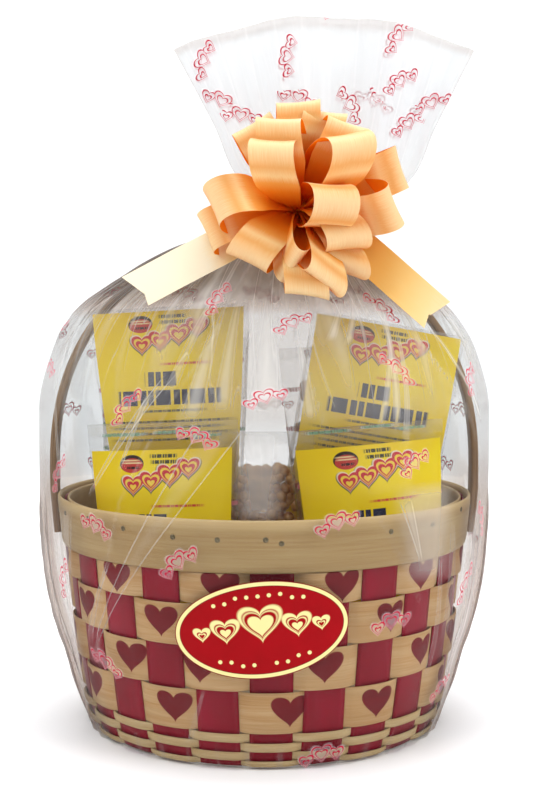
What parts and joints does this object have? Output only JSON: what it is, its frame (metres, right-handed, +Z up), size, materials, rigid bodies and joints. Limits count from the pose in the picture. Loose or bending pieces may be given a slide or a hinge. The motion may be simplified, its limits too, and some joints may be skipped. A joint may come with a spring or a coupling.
{
  "type": "snack gift basket",
  "caption": "Woven splint basket with a bent handle, filled with snack packs, wrapped in clear film that is gathered at a neck and tied with a ribbon bow.",
  "frame": {"origin": "middle of the flat foot, on the basket's axis, where it stands", "axes": "+Z up along the basket's axis, -Y towards the front with the oval label, +X to the right seen from the front"},
  "size_m": [0.348, 0.329, 0.538],
  "materials": {
    "film": "clear glossy cellophane with small crimson prints",
    "ribbon": "peach gold satin ribbon",
    "label": "glossy red oval sticker with a cream border",
    "stake": "crimson stained splint, satin",
    "weaver": "natural splint printed with dark red hearts",
    "reed": "natural flat reed, raw",
    "rim": "natural splint, lightly sanded",
    "handle": "bent wood strip, greyed brown",
    "base": "plywood, raw",
    "card": "yellow printed pack front, glossy",
    "pouch": "clear pack film over snacks",
    "filler": "crumpled filler paper"
  },
  "bodies": {
    "root": {"base_board": "base", "stake_01": "stake", "stake_02": "stake", "stake_03": "stake", "stake_04": "stake", "stake_05": "stake", "stake_06": "stake", "stake_07": "stake", "stake_08": "stake", "stake_09": "stake", "stake_10": "stake", "stake_11": "stake", "stake_12": "stake", "stake_13": "stake", "stake_14": "stake", "stake_15": "stake", "stake_16": "stake", "stake_17": "stake", "stake_18": "stake", "stake_19": "stake", "stake_20": "stake", "stake_21": "stake", "stake_22": "stake", "stake_23": "stake", "stake_24": "stake", "weaver_1": "weaver", "weaver_2": "weaver", "weaver_3": "weaver", "weaver_4": "weaver", "reed_1": "reed", "reed_2": "reed", "reed_3": "reed", "reed_4": "reed", "rim_outer": "rim", "rim_inner": "rim", "handle": "handle", "filler_bed": "filler", "pouch_front_left": "pouch", "card_front_left": "card", "pouch_front_right": "pouch", "card_front_right": "card", "pouch_back_left": "pouch", "card_back_left": "card", "pouch_back_right": "pouch", "card_back_right": "card", "pouch_middle": "pouch", "pouch_rear_left": "pouch", "pouch_rear_right": "pouch", "wrap_film": "film", "oval_label": "label", "ribbon_bow": "ribbon"}
  },
  "joints": []
}
